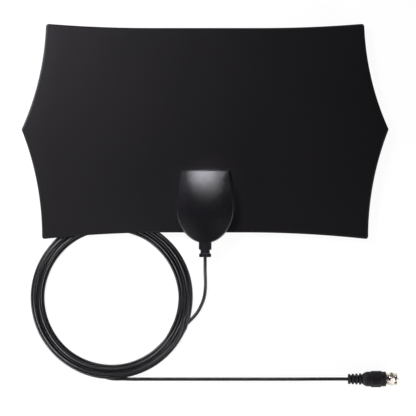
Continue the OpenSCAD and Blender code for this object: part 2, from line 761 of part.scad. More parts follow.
// The pin has a thicker root inside the bead, and a plain free end.
module centre_pin() {
    color("#c98f4a") on_plug_axis() {
        translate([0, 0, pin_root_x]) cylinder(r = pin_root_r, h = bead_end_x - pin_root_x);
        translate([0, 0, bead_end_x - eps]) cylinder(r = pin_r, h = nut_end_x + pin_out - bead_end_x + eps);
    }
}

module coupling_nut() {
    color("#d4cfc2") on_plug_axis() difference() {
        union() {
            translate([0, 0, nut_x]) cylinder(r = nut_flats / 2 / cos(30), h = hex_len, $fn = 6);
            translate([0, 0, nut_x]) cylinder(r = collar_r, h = hex_len + collar_len);
        }
        translate([0, 0, nut_x - 1]) cylinder(r = post_r + nut_gap, h = boot_len);
        translate([0, 0, nut_x + nut_rear_wall]) cylinder(r = thread_r, h = boot_len);
    }
}

front_sheet();
rear_sheet();
left_element();
right_element();
front_cover();
rear_cover();
cover_screws();
circuit_board();
balun_core();
balun_winding();
chip_parts();
contact_rivets();
braid_clamp();
solder_joint();
strain_relief();
entry_jacket();
entry_dielectric();
entry_conductor();
cord_lead();
cord_coil();
cord_turnback();
cord_tail();
plug_boot();
plug_jacket_end();
plug_body();
plug_insulator();
centre_pin();
coupling_nut();
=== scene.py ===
# Flat indoor television antenna that lies on its back, seen from straight above: a thin black
# panel, a moulded case on its lower edge, and a long thin cord, coiled, with a screw-on plug.
# Sizes in the dictionaries are millimetres. X runs to the right, Y to the panel's upper edge.
import math

import bpy
import numpy as np
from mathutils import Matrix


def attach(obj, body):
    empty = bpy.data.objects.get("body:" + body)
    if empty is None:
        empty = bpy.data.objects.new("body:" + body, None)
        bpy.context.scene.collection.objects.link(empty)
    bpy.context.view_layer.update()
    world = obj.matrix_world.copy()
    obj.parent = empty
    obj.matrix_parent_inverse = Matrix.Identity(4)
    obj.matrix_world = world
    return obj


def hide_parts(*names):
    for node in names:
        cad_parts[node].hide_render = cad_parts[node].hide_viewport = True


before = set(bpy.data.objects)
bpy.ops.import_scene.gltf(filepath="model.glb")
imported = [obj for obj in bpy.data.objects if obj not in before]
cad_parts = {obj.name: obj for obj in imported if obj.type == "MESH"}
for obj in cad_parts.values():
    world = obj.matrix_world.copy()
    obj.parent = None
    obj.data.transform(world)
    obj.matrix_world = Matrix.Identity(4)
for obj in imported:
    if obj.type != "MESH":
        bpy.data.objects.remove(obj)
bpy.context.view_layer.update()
mm = 0.001


# Camera

cameraFacts = {
    "centre": (2.5, -58.9),  # what the middle of the picture shows
    "wide": 364.0,           # how much the picture takes in
    "level": 7.7,            # the height at which that width is measured: the panel's face
    "lens": 200.0,
    "sensor": 36.0,
    "sightMetres": 20.0,     # how far the camera sees
}


def makeCamera(f):
    data = bpy.data.cameras.new("overhead")
    data.lens, data.sensor_width = f["lens"], f["sensor"]
    data.clip_end = f["sightMetres"]
    camera = bpy.data.objects.new("overhead", data)
    height = f["wide"] * f["lens"] / f["sensor"] + f["level"]
    camera.location = (f["centre"][0] * mm, f["centre"][1] * mm, height * mm)
    bpy.context.scene.collection.objects.link(camera)
    bpy.context.scene.camera = camera


makeCamera(cameraFacts)
print("camera placed")


# Meshes from whole arrays

def closedMesh(name, shells, body, material, replaced=(), sharp=35, band=False):
    # Each shell is an array of rings, rings[i, j] is point j of ring i, in millimetres. Quads join
    # each ring to the next, and the rings close on themselves. The first and last are filled, or in
    # a band joined to each other. A negative sum of the faces' volumes turns a shell round.
    points, faces = [], []
    for rings in shells:
        count, around = rings.shape[:2]
        i, j = np.arange(count if band else count - 1)[:, None] * around, np.arange(around)[None, :]
        on, after = (i + around) % (count * around), (j + 1) % around
        quads = np.stack(np.broadcast_arrays(i + j, i + after, on + after, on + j), axis=-1).reshape(-1, 4)
        flat = rings.reshape(-1, 3)
        a, b, c, d = (flat[quads[:, n]] - flat.mean(axis=0) for n in range(4))
        volume = (a * (np.cross(b, c) + np.cross(c, d))).sum()
        ends = [] if band else [np.arange(around)[::-1], (count - 1) * around + np.arange(around)]
        for ring in ends:
            volume += (flat[ring].mean(axis=0) - flat.mean(axis=0)) @ np.cross(
                flat[ring], np.roll(flat[ring], -1, axis=0)).sum(axis=0)
        start = sum(len(p) for p in points)
        step = -1 if volume < 0 else 1
        faces += (start + quads[:, ::step]).tolist() + [(start + ring[::step]).tolist() for ring in ends]
        points.append(flat)
    mesh = bpy.data.meshes.new(name)
    mesh.from_pydata((np.concatenate(points) * mm).tolist(), [], faces)
    mesh.polygons.foreach_set("use_smooth", np.ones(len(faces), bool))
    mesh.update()
    mesh.set_sharp_from_angle(angle=math.radians(sharp))
    mesh.materials.append(material)
    piece = bpy.data.objects.new(name, mesh)
    bpy.context.scene.collection.objects.link(piece)
    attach(piece, body)
    if replaced:
        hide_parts(*replaced)
    return piece


def partly(piece, material, chosen):  # a second material on the faces whose centres are chosen
    piece.data.materials.append(material)
    centres = np.empty(3 * len(piece.data.polygons))
    piece.data.polygons.foreach_get("center", centres)
    picked = chosen(*(centres.reshape(-1, 3) / mm).T)
    piece.data.polygons.foreach_set("material_index", picked.astype(np.int32))


def smoothStep(start, end, t):  # 0 before start, 1 after end, and level at both
    s = np.clip((t - start) / (end - start), 0.0, 1.0)
    return s * s * (3 - 2 * s)


# Materials

def linear(code):  # an sRGB hex colour in linear values: a straight line near black, above it a power
    v = np.array([int(code[n:n + 2], 16) for n in (1, 3, 5)]) / 255
    v = np.where(v <= 0.04045, v / 12.92, ((v + 0.055) / 1.055) ** 2.4)
    return (*v.tolist(), 1.0)


def addNode(tree, kind, settings, links=None):  # one node, its settings, and what feeds it
    node = tree.nodes.new("ShaderNode" + kind)
    for key, value in settings.items():
        if isinstance(key, str) and hasattr(node, key):
            setattr(node, key, value)
        else:
            node.inputs[key].default_value = value
    for key, source in (links or {}).items():
        tree.links.new(source, node.inputs[key])
    return node


patternFacts = {
    "grainDetail": 2.0, "grainRough": 0.6, "driftDetail": 3.0,
    "grainShare": 0.35,       # how much of the grain goes into the mix of the two tones
    "mixed": (0.45, 0.9),     # where the mixed pattern runs from one tone to the other
    "glossed": (0.25, 0.75),  # where the grain runs from one roughness to the other
}


def finish(name, tones, rough, grain, depth, drift, metallic=0.0, specular=0.5, stretch=(1, 1, 1)):
    # Two tones mixed by a broad drift and a fine grain. The grain also moves the roughness and
    # stands up as bump. grain and drift are the patterns' sizes and depth is the grain's height.
    f = patternFacts
    material = bpy.data.materials.new(name)
    material.use_nodes = True
    tree = material.node_tree
    tree.nodes.clear()
    place = addNode(tree, "TexCoord", {})
    turned = addNode(tree, "Mapping", {"Scale": stretch}, {"Vector": place.outputs["Object"]})
    fine = addNode(tree, "TexNoise",
                   {"Scale": 1 / (grain * mm), "Detail": f["grainDetail"], "Roughness": f["grainRough"]},
                   {"Vector": turned.outputs["Vector"]})
    broad = addNode(tree, "TexNoise", {"Scale": 1 / (drift * mm), "Detail": f["driftDetail"]},
                    {"Vector": turned.outputs["Vector"]})
    both = addNode(tree, "Math", {"operation": "MULTIPLY_ADD", 1: f["grainShare"]},
                   {0: fine.outputs["Fac"], 2: broad.outputs["Fac"]})
    share = addNode(tree, "MapRange", {"From Min": f["mixed"][0], "From Max": f["mixed"][1]},
                    {"Value": both.outputs["Value"]})
    colour = addNode(tree, "Mix", {"data_type": "RGBA", 6: linear(tones[0]), 7: linear(tones[1])},
                     {0: share.outputs["Result"]})
    gloss = addNode(tree, "MapRange", {"From Min": f["glossed"][0], "From Max": f["glossed"][1],
                                       "To Min": rough[0], "To Max": rough[1]},
                    {"Value": fine.outputs["Fac"]})
    bump = addNode(tree, "Bump", {"Strength": 1.0, "Distance": depth * mm}, {"Height": fine.outputs["Fac"]})
    shader = addNode(tree, "BsdfPrincipled", {"Metallic": metallic, "Specular IOR Level": specular},
                     {"Base Color": colour.outputs[2], "Roughness": gloss.outputs["Result"],
                      "Normal": bump.outputs["Normal"]})
    addNode(tree, "OutputMaterial", {}, {"Surface": shader.outputs["BSDF"]})
    return material


# Each line: name, two tones, two roughnesses, size of the grain, its height, size of the drift.
# Rolled PVC sheet with a fine emboss: a soft, wide sheen and no sharp reflection.
panelSheet = finish("embossedPvcSheet", ("#080708", "#0c0a0d"), (0.44, 0.50), 0.9, 0.008, 60, specular=0.36)
# Injection-moulded ABS from a spark-eroded tool: satin, with a grain that sparkles in the light.
# The real grain is about 0.3 mm, and it is drawn four times as coarse so that it shows.
caseAbs = finish("sparkErodedAbs", ("#08070b", "#0b0a0e"), (0.26, 0.34), 1.2, 0.028, 40)
# Soft PVC, moulded over the cord: duller than the case.
reliefPvc = finish("mouldedSoftPvc", ("#131216", "#18171b"), (0.50, 0.62), 0.7, 0.015, 15, specular=0.3)
# Extruded PVC jacket: satin, with faint draw marks.
cordPvc = finish("extrudedPvcJacket", ("#0a0a0c", "#0e0e10"), (0.32, 0.37), 5.0, 0.002, 40, specular=0.65)
# Moulded thermoplastic rubber: matt and a little grey.
bootRubber = finish("mattMouldedRubber", ("#19181b", "#222024"), (0.50, 0.62), 0.8, 0.02, 12, specular=0.28)
# The same rubber in a darker tone, painted as shade in the windows between the ribs and on the pads.
bootPaintedShade = finish("rubberPaintedShade", ("#0b0a0d", "#100f12"), (0.45, 0.55), 0.8, 0.01, 12, specular=0.25)
# Nickel plate on turned brass: warm and bright, with fine turning marks round the axis.
nickelPlate = finish("turnedNickelPlate", ("#cfc8b8", "#e6e0d2"), (0.16, 0.3), 0.35, 0.004, 6, metallic=1.0,
                     stretch=(6, 1, 1))
# Copper-clad steel core of the cord, bare and slightly dull.
copperPin = finish("copperCladSteel", ("#a38a70", "#bfa68a"), (0.25, 0.4), 0.3, 0.003, 3, metallic=1.0)
# Foamed polyethylene, milky and soft.
whiteBead = finish("milkyPolyethylene", ("#e6e4de", "#f3f2ee"), (0.4, 0.55), 0.6, 0.01, 5)
# Rolled aluminium foil of the dipole, with its rolling direction along X.
rolledFoil = finish("rolledAluminiumFoil", ("#b9babd", "#d2d3d5"), (0.25, 0.4), 0.6, 0.004, 20, metallic=1.0,
                    stretch=(0.2, 3, 1))
# Blackened steel screws.
blackSteel = finish("blackenedSteel", ("#2b2b2e", "#3c3c40"), (0.3, 0.5), 0.5, 0.006, 3, metallic=1.0)
# Glass-epoxy board under green solder mask.
boardMask = finish("greenSolderMask", ("#1f5b30", "#2f7a42"), (0.25, 0.4), 1.0, 0.01, 8)
# Sintered ferrite, dark and dense.
ferrite = finish("sinteredFerrite", ("#2b2a2c", "#3b393a"), (0.5, 0.7), 0.3, 0.02, 3)
# Enamelled copper wire: red-brown, with the enamel's gloss.
enamelWire = finish("enamelledCopper", ("#8f4a1f", "#b3652f"), (0.2, 0.3), 0.5, 0.002, 3, metallic=1.0)
# Ceramic chips with tinned ends.
ceramicChip = finish("firedCeramic", ("#b7a57f", "#cdbd98"), (0.35, 0.5), 0.4, 0.004, 2)
# Bare brass rivets.
bareBrass = finish("bareBrass", ("#b59652", "#d0b068"), (0.25, 0.4), 0.4, 0.004, 3, metallic=1.0)
# Tin plate and solder: pale, slightly mottled.
tinPlate = finish("brightTinPlate", ("#b9bbbd", "#d6d7d8"), (0.2, 0.38), 0.5, 0.006, 2, metallic=1.0)

nodeFinishes = {
    "left_element": rolledFoil, "right_element": rolledFoil, "cover_screws": blackSteel,
    "circuit_board": boardMask, "balun_core": ferrite, "balun_winding": enamelWire,
    "chip_parts": ceramicChip, "contact_rivets": bareBrass, "braid_clamp": tinPlate,
    "solder_joint": tinPlate, "entry_jacket": cordPvc, "entry_dielectric": whiteBead,
    "entry_conductor": copperPin,
}
for node, material in nodeFinishes.items():
    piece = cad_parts[node]
    piece.data.materials.clear()
    piece.data.materials.append(material)
print("materials made")


# Cord

cordFacts = {
    "diameter": 3.0,
    "sides": 14,
    "exit": (0.0, -101.85, 10.1),
    "coilCentre": (-82.1, -137.65),
    "firstTurn": 60.35,   # radius of the innermost turn
    "pitch": 2.3,
    "turns": 5,
    "underLead": 63.05,   # radius of the ring beneath, that the lead joins
    "underTail": 66.85,   # radius of the ring beneath, that the tail comes from
    "runRow": -209.1,     # Y of the straight run
    "plugRow": -208.55,   # Y of the plug's axis
    "climb": (75.0, 117.0),  # from where to where along X the cord rises to the plug
    "stations": 40,       # points of a turn, and the angle between them
    "stationStep": 9.0,
    "widen": -112.0,      # the angle at which a turn starts to widen to its radius
    "widenLast": -100.0,
    "widenLong": 36.0,
    "leadRing": (54.0, 236.0, 10.0),   # angles of the ring that the lead joins: first, end and step
    "tailRing": (140.0, 222.0, 9.0),
    "run": (27.0, 68.0, 12.0),  # X of the straight run: start from the coil's centre, end and step
    "roughStep": 2.4,     # distance between the points before and after the cord has settled
    "fineStep": 1.6,
}
settleFacts = {
    "pressed": 0.9,       # how near two soft jackets come, as a part of the diameter
    "rounds": 48,
    "push": 0.6,          # the part of a push that each round makes
    "sink": 0.02,         # how far a round draws the cord down
    "even": 0.5,          # the part of the way to an even height, and back to the place seen from above
    "hold": 0.06,
    "apart": 6,           # points up to this many steps apart don't push each other
    "heldPoints": 30,     # the first points, and all past an X, keep their place
    "heldPast": 66.0,
    "underPanel": -82.05,  # from this Y up, the panel's back sheet keeps the cord's middle below a ceiling
    "ceiling": 4.38, "open": 20.0,
}
# The routes hold points that the cord starts from, before it settles on the surface.
# From the exit down to the surface, relative to the exit.
leadRoute = [[0, 0, 0], [0, -6, -0.6], [0, -12, -2.4], [0.2, -18, -4.9], [0.3, -24, -7.1], [0, -30, -8.3],
             [-1, -36, -8.6], [-3.2, -42, -8.6], [-6.4, -48, -8.6], [-10.4, -53, -8.6],
             [-14.4, -57, -8.6], [-22, -64.6, -8.6], [-30.5, -72.8, -8.6]]
# The loop under the panel where the cord turns back, relative to the coil's centre.
backRoute = [[-23.8, 65.4, 4.1], [-12, 68.1, 3.9], [0, 69, 3.2], [7, 69.2, 2.6], [14, 70.2, 1.8],
             [21, 72.6, 1.35], [27, 76.6, 1.35], [31, 82.4, 1.35], [32.4, 89, 1.35], [31, 95.6, 1.35],
             [27, 101.2, 1.35], [21, 104.8, 1.35], [14, 106, 1.35], [7, 105.2, 1.35], [0, 102.6, 1.35],
             [-6, 98.8, 1.35], [-12, 94, 1.35], [-18, 88.4, 1.35], [-23.4, 82.4, 1.35], [-28.4, 76, 1.35],
             [-32.6, 69.6, 1.35], [-36.4, 63.4, 1.35], [-40.4, 57.4, 1.35], [-44.9, 51.4, 1.35]]
# From the ring beneath out to the straight run, relative to the coil's centre.
outRoute = [[-43.7, -51.0, 1.5], [-33.9, -58.4, 1.5], [-22.8, -64.3, 1.5], [-11.5, -68.2, 1.5],
            [-1.0, -70.3, 1.5], [8.0, -71.1, 1.5], [17.0, -71.45, 1.5]]
# The end of the straight run: distance along X and height above the surface's level.
climbRoute = [[75, 0], [82, 0.3], [89, 1.2], [96, 2.5], [103, 3.85], [110, 5.0], [117, 5.65], [125, 5.8],
              [134, 5.8], [143, 5.8], [151, 5.8]]
# Heights of the turns' middles by angle, clockwise from the right. Where the lead or the tail
# passes beneath, the turns above it rise in a low hump.
turnAngles = [-112, -94, -76, -40, 0, 8, 15, 20, 26, 32, 39, 47, 60, 75, 84, 90, 96, 105, 115, 125, 135, 145,
              155, 180, 225, 233, 240]
turnHeights = [
    [1.35] * 27,
    [1.35, 4.1, 2.3, 2.2, 2.2, 2.2, 2.2, 2.2, 2.4, 2.8, 3.5, 4.2] + [4.35] * 15,
    [4.35, 2.5, 1.35, 1.35, 1.35, 1.35, 1.4, 2.0, 3.3, 4.1, 3.9, 3.4] + [3.2] * 15,
    [3.2, 3.9, 2.3, 2.2, 2.2, 2.6, 3.3, 4.2, 4.6, 4.7, 4.5, 4.4] + [4.35] * 15,
    [4.35, 4.3, 3.0, 1.35, 1.6, 2.6, 3.8, 4.1, 3.7, 2.7, 1.8, 1.4, 1.35, 1.35, 2.9, 3.4, 3.7, 4.05, 4.0,
     3.45, 2.5, 1.9, 1.5, 1.35, 1.8, 3.3, 4.1],
]


def throughPoints(points, step):
    # A natural cubic spline: between two points each coordinate is a cubic of the distance along,
    # and the bends on both sides of a point are equal. Gives points about a step apart.
    p = np.asarray(points, float)
    gap = np.linalg.norm(np.diff(p, axis=0), axis=1)
    along = np.concatenate([[0.0], np.cumsum(gap)])
    n = len(p)
    left, right = np.eye(n), np.zeros((n, 3))
    k = np.arange(1, n - 1)
    left[k, k - 1], left[k, k], left[k, k + 1] = gap[:-1], 2 * (gap[:-1] + gap[1:]), gap[1:]
    slope = np.diff(p, axis=0) / gap[:, None]
    right[1:-1] = 6 * np.diff(slope, axis=0)
    bend = np.linalg.solve(left, right)
    u = np.linspace(0, along[-1], int(along[-1] / step) + 1)
    k = np.clip(np.searchsorted(along, u, side="right") - 1, 0, n - 2)
    h, x = gap[k][:, None], (u - along[k])[:, None]
    y = h - x
    return ((bend[k] * y**3 + bend[k + 1] * x**3) / (6 * h)
            + (p[k] / h - bend[k] * h / 6) * y + (p[k + 1] / h - bend[k + 1] * h / 6) * x)


def settled(path, f, g):
    # Lets the cord come to rest. In each round a point moves away from all that are too close, by
    # the mean of the overlaps, sinks a little, goes part of the way to the mean height of its two
    # neighbours, and part of the way back to its place seen from above. The two ends are held.
    rest = path.copy()
    order = np.arange(len(path))
    apart = np.abs(order[:, None] - order[None, :]) > g["apart"]
    free = ((order > g["heldPoints"]) & (rest[:, 0] < g["heldPast"]))[:, None] * 1.0
    lowest, thick = f["diameter"] / 2, g["pressed"] * f["diameter"]
    ceiling = np.where(rest[:, 1] > g["underPanel"], g["ceiling"], g["open"])
    for turn in range(g["rounds"]):
        away = path[:, None, :] - path[None, :, :]
        distance = np.sqrt((away ** 2).sum(axis=-1)) + 1e-6
        push = np.where(apart & (distance < thick), (thick - distance) / distance, 0.0)
        move = np.einsum("ij,ijk->ik", push, away) / np.maximum((push > 0).sum(axis=1), 1)[:, None]
        path = path + g["push"] * move * free
        path[:, 2] -= g["sink"] * free[:, 0]
        even = np.zeros(len(path))
        even[1:-1] = (path[:-2, 2] + path[2:, 2]) / 2 - path[1:-1, 2]
        path[:, 2] += g["even"] * even * free[:, 0]
        path[:, :2] += g["hold"] * (rest[:, :2] - path[:, :2]) * free
        path[:, 2] = np.clip(path[:, 2], lowest, ceiling) * free[:, 0] + rest[:, 2] * (1 - free[:, 0])
    return path


def cordPath(f, g):
    # Turn k is a circle whose radius grows by a pitch from one turn to the next, in the stretch
    # under the panel. The lead joins it from beneath, and after the last turn the cord loops back.
    cx, cy = f["coilCentre"]
    low = f["diameter"] / 2
    centre = np.array([cx, cy, 0.0])

    def ring(angle, radius, height):
        a = np.radians(angle)
        return np.stack(np.broadcast_arrays(radius * np.cos(a), radius * np.sin(a), height), axis=-1) + centre

    k = np.arange(f["turns"])[:, None]
    phase = f["widen"] + f["stationStep"] * np.arange(f["stations"])
    toRadius = f["firstTurn"] + f["pitch"] * k
    fromRadius = np.where(k == 0, f["underLead"], toRadius - f["pitch"])
    begin = np.where(k == f["turns"] - 1, f["widenLast"], f["widen"])
    radius = fromRadius + (toRadius - fromRadius) * smoothStep(begin, begin + f["widenLong"], phase)
    height = np.stack([np.interp(phase, turnAngles, row) for row in turnHeights])
    turns = ring(-phase, radius, height).reshape(-1, 3)
    climb = np.array(climbRoute)
    row = f["runRow"] + (f["plugRow"] - f["runRow"]) * smoothStep(*f["climb"], climb[:, 0])
    runStart, runEnd, runStep = f["run"]
    route = np.concatenate([
        np.array(leadRoute) + np.array(f["exit"]),
        ring(-np.arange(*f["leadRing"]), f["underLead"], low),
        turns,
        np.array(backRoute) + centre,
        ring(np.arange(*f["tailRing"]), f["underTail"], low),
        np.array(outRoute) + centre,
        np.stack(np.broadcast_arrays(np.arange(cx + runStart, runEnd, runStep), f["runRow"], low), axis=-1),
        np.column_stack([climb[:, 0], row, low + climb[:, 1]]),
    ])
    return throughPoints(settled(throughPoints(route, f["roughStep"]), f, g), f["fineStep"])


def tube(path, radius, sides):
    # Carries a circle along the path. Each ring stands square to the path, and its first side
    # direction is level, which the path's slopes leave always possible.
    ahead = np.gradient(path, axis=0)
    ahead /= np.linalg.norm(ahead, axis=1)[:, None]
    side = np.cross(ahead, [0.0, 0.0, 1.0])
    side /= np.linalg.norm(side, axis=1)[:, None]
    up = np.cross(side, ahead)
    a = np.linspace(0, 2 * np.pi, sides, endpoint=False)
    return path[:, None, :] + radius * (np.cos(a)[None, :, None] * side[:, None, :]
                                        + np.sin(a)[None, :, None] * up[:, None, :])


cordLine = cordPath(cordFacts, settleFacts)
cordPiece = closedMesh("cord", [tube(cordLine, cordFacts["diameter"] / 2, cordFacts["sides"])], "antenna",
                       cordPvc,
                       ("cord_lead", "cord_coil", "cord_turnback", "cord_tail", "plug_jacket_end"))


# Panel

panelFacts = {
    "tipY": 9.85, "up": 92.6, "down": 96.1, "wide": 321.4, "topCorners": 278.5, "lowCorners": 285.5,
    "hollow": 4.7, "topFlat": 96.0, "topRise": 3.8, "lowFlat": 70.0, "lowDrop": 5.9,
    "cornerRound": 3.0, "tipRound": 1.0,
    "flatPoints": (8, 12), "edgePoints": 24, "sidePoints": 30,
    "rearBottom": 5.9, "rearTop": 6.9, "frontTop": 7.7,
    "rimThick": 0.25,          # the front sheet's thin rim, and the round of its edges
    "rimRound": 0.06,
    "rimWide": 1.4,            # how far in the rim's slope ends
    "slopeOver": 1.204, "slopeUp": 0.5115,
    "slopeEnd": (0.08, 0.012), "faceStart": 0.12,
}


def arcPoints(a, b, sag, count):
    # Points from a to b, without b, on the circle that leaves the chord by sag at its middle.
    a, b = np.array(a, float), np.array(b, float)
    chord = np.linalg.norm(b - a)
    along = (b - a) / chord
    side = np.array([-along[1], along[0]])
    r = (chord ** 2 / 4 + sag ** 2) / (2 * abs(sag))
    half = math.asin(chord / 2 / r)
    t = -half + 2 * half * np.arange(count) / count
    turn = math.copysign(1.0, sag)
    centre = (a + b) / 2 + side * (sag - turn * r)
    return centre + r * (np.sin(t)[:, None] * along + turn * np.cos(t)[:, None] * side)


def cornerPoints(a, c, b, r, count=9):  # a parabola from r before the corner c to r after it
    a, b, c = np.array(a, float), np.array(b, float), np.array(c, float)
    p = c + r * (a - c) / np.linalg.norm(a - c)
    q = c + r * (b - c) / np.linalg.norm(b - c)
    t = np.linspace(0, 1, count)[:, None]
    return (1 - t) ** 2 * p + 2 * t * (1 - t) * c + t ** 2 * q


def panelOutline(f):
    # The right half from the middle of the lower edge round to the top, then its mirror image.
    tip = [f["wide"] / 2, f["tipY"]]
    low = [f["lowCorners"] / 2, f["tipY"] - f["down"]]
    high = [f["topCorners"] / 2, f["tipY"] + f["up"]]
    lowFlat = [f["lowFlat"] / 2, low[1] + f["lowDrop"]]
    highFlat = [f["topFlat"] / 2, high[1] - f["topRise"]]
    lowEdge = arcPoints(lowFlat, low, f["lowDrop"] / 4, f["edgePoints"])
    lowSide = arcPoints(low, tip, f["hollow"], f["sidePoints"])[1:]
    highSide = arcPoints(tip, high, f["hollow"], f["sidePoints"])[1:]
    highEdge = arcPoints(high, highFlat, f["topRise"] / 4, f["edgePoints"])[1:]
    few, more = f["flatPoints"]
    half = np.concatenate([
        np.stack([np.linspace(2, lowFlat[0], few, endpoint=False), np.full(few, lowFlat[1])], axis=1),
        lowEdge, cornerPoints(lowEdge[-1], low, lowSide[0], f["cornerRound"]),
        lowSide, cornerPoints(lowSide[-1], tip, highSide[0], f["tipRound"]),
        highSide, cornerPoints(highSide[-1], high, highEdge[0], f["cornerRound"]),
        highEdge, np.stack([np.linspace(highFlat[0], 2, more), np.full(more, highFlat[1])], axis=1)])
    return np.concatenate([half, half[::-1] * [-1, 1]])


def movedIn(points, distance):  # moves each point of a closed outline along the mean of its two normals
    back, on = points - np.roll(points, 1, axis=0), np.roll(points, -1, axis=0) - points
    a = np.stack([-back[:, 1], back[:, 0]], axis=1) / np.linalg.norm(back, axis=1)[:, None]
    b = np.stack([-on[:, 1], on[:, 0]], axis=1) / np.linalg.norm(on, axis=1)[:, None]
    return points + distance * (a + b) / (1 + (a * b).sum(axis=1))[:, None]


def slabRings(outline, steps, centre):
    # Rings of a flat slab: each step is a distance in from the outline and a height. The two faces
    # are closed by rings that shrink to the centre.
    around = [np.column_stack([movedIn(outline, inward), np.full(len(outline), z)]) for inward, z in steps]
    shares = [0.002, 0.25, 0.5, 0.75, 0.9]
    middle = np.array([*centre, 0.0])

    def shrunk(ring, share):
        flat = middle + share * (ring - middle)
        flat[:, 2] = ring[:, 2]
        return flat

    first = [shrunk(around[0], share) for share in shares]
    last = [shrunk(around[-1], share) for share in shares[::-1]]
    return np.stack(first + around + last)


def frontSteps(f):  # from the back edge over the thin rim and its slope to the face
    low, rim = f["rearTop"], f["rearTop"] + f["rimThick"]
    slope = [(f["rimRound"] + s * f["slopeOver"], rim + s * f["slopeUp"]) for s in np.linspace(0, 1, 5)]
    return [(0.05, low), (0.0, low + 0.05), (0.0, rim - f["rimRound"]), *slope,
            (f["rimWide"] - f["slopeEnd"][0], f["frontTop"] - f["slopeEnd"][1]),
            (f["rimWide"] + f["faceStart"], f["frontTop"])]


def rearSteps(f):  # a soft edge below and a crisp one against the front sheet
    low, high = f["rearBottom"], f["rearTop"]
    return [(0.28, low), (0.08, low + 0.07), (0.0, low + 0.25), (0.0, high - 0.05), (0.05, high)]


outline, tipLevel = panelOutline(panelFacts), (0, panelFacts["tipY"])
closedMesh("frontSheet", [slabRings(outline, frontSteps(panelFacts), tipLevel)], "antenna", panelSheet,
           ("front_sheet",))
closedMesh("rearSheet", [slabRings(outline, rearSteps(panelFacts), tipLevel)], "antenna", panelSheet,
           ("rear_sheet",))
print("panel made")


# Case

caseFacts = {
    "wide": 51.0, "topWide": 45.4, "topY": -25.35, "endY": -89.85, "nose": 31.8, "cornerRound": 1.8,
    "sideBend": 1.6,           # the power by which the sides draw in
    "wall": 1.8, "base": 7.7, "rearHigh": 5.9, "chamfer": 1.0, "panelEdge": -80.05,
    "draftCorner": 2.6, "draftSide": 1.9, "draftNose": 1.5, "draftTop": 1.0,
    "faceTop": 6.4,            # heights over the base: the face's edge, and what it gains and loses
    "sideRise": 1.4, "riseEnd": 48.0,
    "noseDrop": 1.0, "dropFrom": 56.0, "dropEnd": 90.0,
    "crown": 10.0, "crownUp": 2.0,  # its height, and its place above the ellipse's middle
    "oval": (24.0, 29.5), "ovalShare": 0.8,
    "fillet": 1.3,             # the rounded edge, and how much smaller it gets where it is crisp
    "crispCut": 0.75, "crispFrom": -61.0, "crispEnd": -45.0,
    "wallShare": (0.35, 0.58),  # the part of the draft below the edge, and what crispness adds to it
    "screws": ((16.6, -31.95), (15.6, -73.45)), "recess": 2.45, "recessDeep": 1.9,
}


def caseOutline(f, sideIn, cornerIn, topIn, noseIn):
    # Half an ellipse at the lower end, and above it sides that draw in by a power of the distance,
    # with two small round corners and a straight upper end.
    w, wTop, bend = f["wide"] / 2 - sideIn, f["topWide"] / 2 - cornerIn, f["sideBend"]
    wideY = f["endY"] + f["nose"]
    top, nose = f["topY"] - topIn, f["nose"] - noseIn
    near = f["cornerRound"] / (top - wideY)
    a = np.radians(np.linspace(90, 0, 40))
    lower = np.stack([w * np.cos(a), wideY - nose * np.sin(a)], axis=1)
    s = 1 - (1 - near) * np.arange(1, 30) / 30
    sides = np.stack([w - (w - wTop) * (1 - s) ** bend, top - s * (top - wideY)], axis=1)
    corner = cornerPoints([w - (w - wTop) * (1 - near) ** bend, top - f["cornerRound"]], [wTop, top],
                          [0, top], f["cornerRound"])
    across = np.stack([np.linspace(wTop - f["cornerRound"], 0, 22)[1:], np.full(21, top)], axis=1)
    half = np.concatenate([lower, sides, corner, across])
    return np.concatenate([half, half[-2:0:-1] * [-1, 1]])


def frontRings(f, inward, lowered):
    # The foot leans in to the face over a rounded edge, which is crisp in the upper half. From
    # there to the crown the height is a parabola, and the rings pass softly into ovals.
    foot = caseOutline(f, inward, inward, inward, inward)
    face = caseOutline(f, *(f[key] + inward for key in ("draftSide", "draftCorner", "draftTop", "draftNose")))
    down = -face[:, 1]
    edge = (f["faceTop"] + f["sideRise"] * smoothStep(-f["topY"], f["riseEnd"], down)
            - f["noseDrop"] * smoothStep(f["dropFrom"], f["dropEnd"], down))
    crisp = smoothStep(f["crispFrom"], f["crispEnd"], -down)
    fillet = f["fillet"] * (1 - f["crispCut"] * crisp)
    wall = (f["wallShare"][0] + f["wallShare"][1] * crisp)[:, None]
    rings = [np.column_stack([foot, np.full(len(foot), f["base"])])]
    for lean in np.linspace(0.2, 1.0, 5):
        rings.append(np.column_stack([foot + wall * lean * (face - foot),
                                      np.maximum(f["base"] + lean * (edge - fillet) - lowered, f["base"])]))
    for angle in np.radians(np.linspace(9, 90, 10)):
        share = wall + (1 - wall) * (1 - math.cos(angle))
        rings.append(np.column_stack([foot + share * (face - foot),
                                      f["base"] + edge - fillet * (1 - math.sin(angle)) - lowered]))
    crownAt = np.array([0, f["endY"] + f["nose"] + f["crownUp"]])
    out = face - crownAt
    oval = out / np.hypot(out[:, 0] / f["oval"][0], out[:, 1] / f["oval"][1])[:, None]
    for s in [0.985, 0.96, 0.92, 0.87, *np.linspace(0.8, 0.1, 15), 0.05, 0.004]:
        rounder = f["ovalShare"] * (1 - s * s)
        rings.append(np.column_stack([crownAt + s * (out + rounder * (oval - out)),
                                      f["base"] + edge + (f["crown"] - edge) * (1 - s * s) - lowered]))
    return rings


innerRings = frontRings(caseFacts, caseFacts["wall"], caseFacts["wall"])[::-1]
innerRings[-1][:, 2] = caseFacts["base"]
closedMesh("frontShell", [np.stack(innerRings + frontRings(caseFacts, 0, 0))], "antenna", caseAbs,
           ("front_cover",), sharp=50)


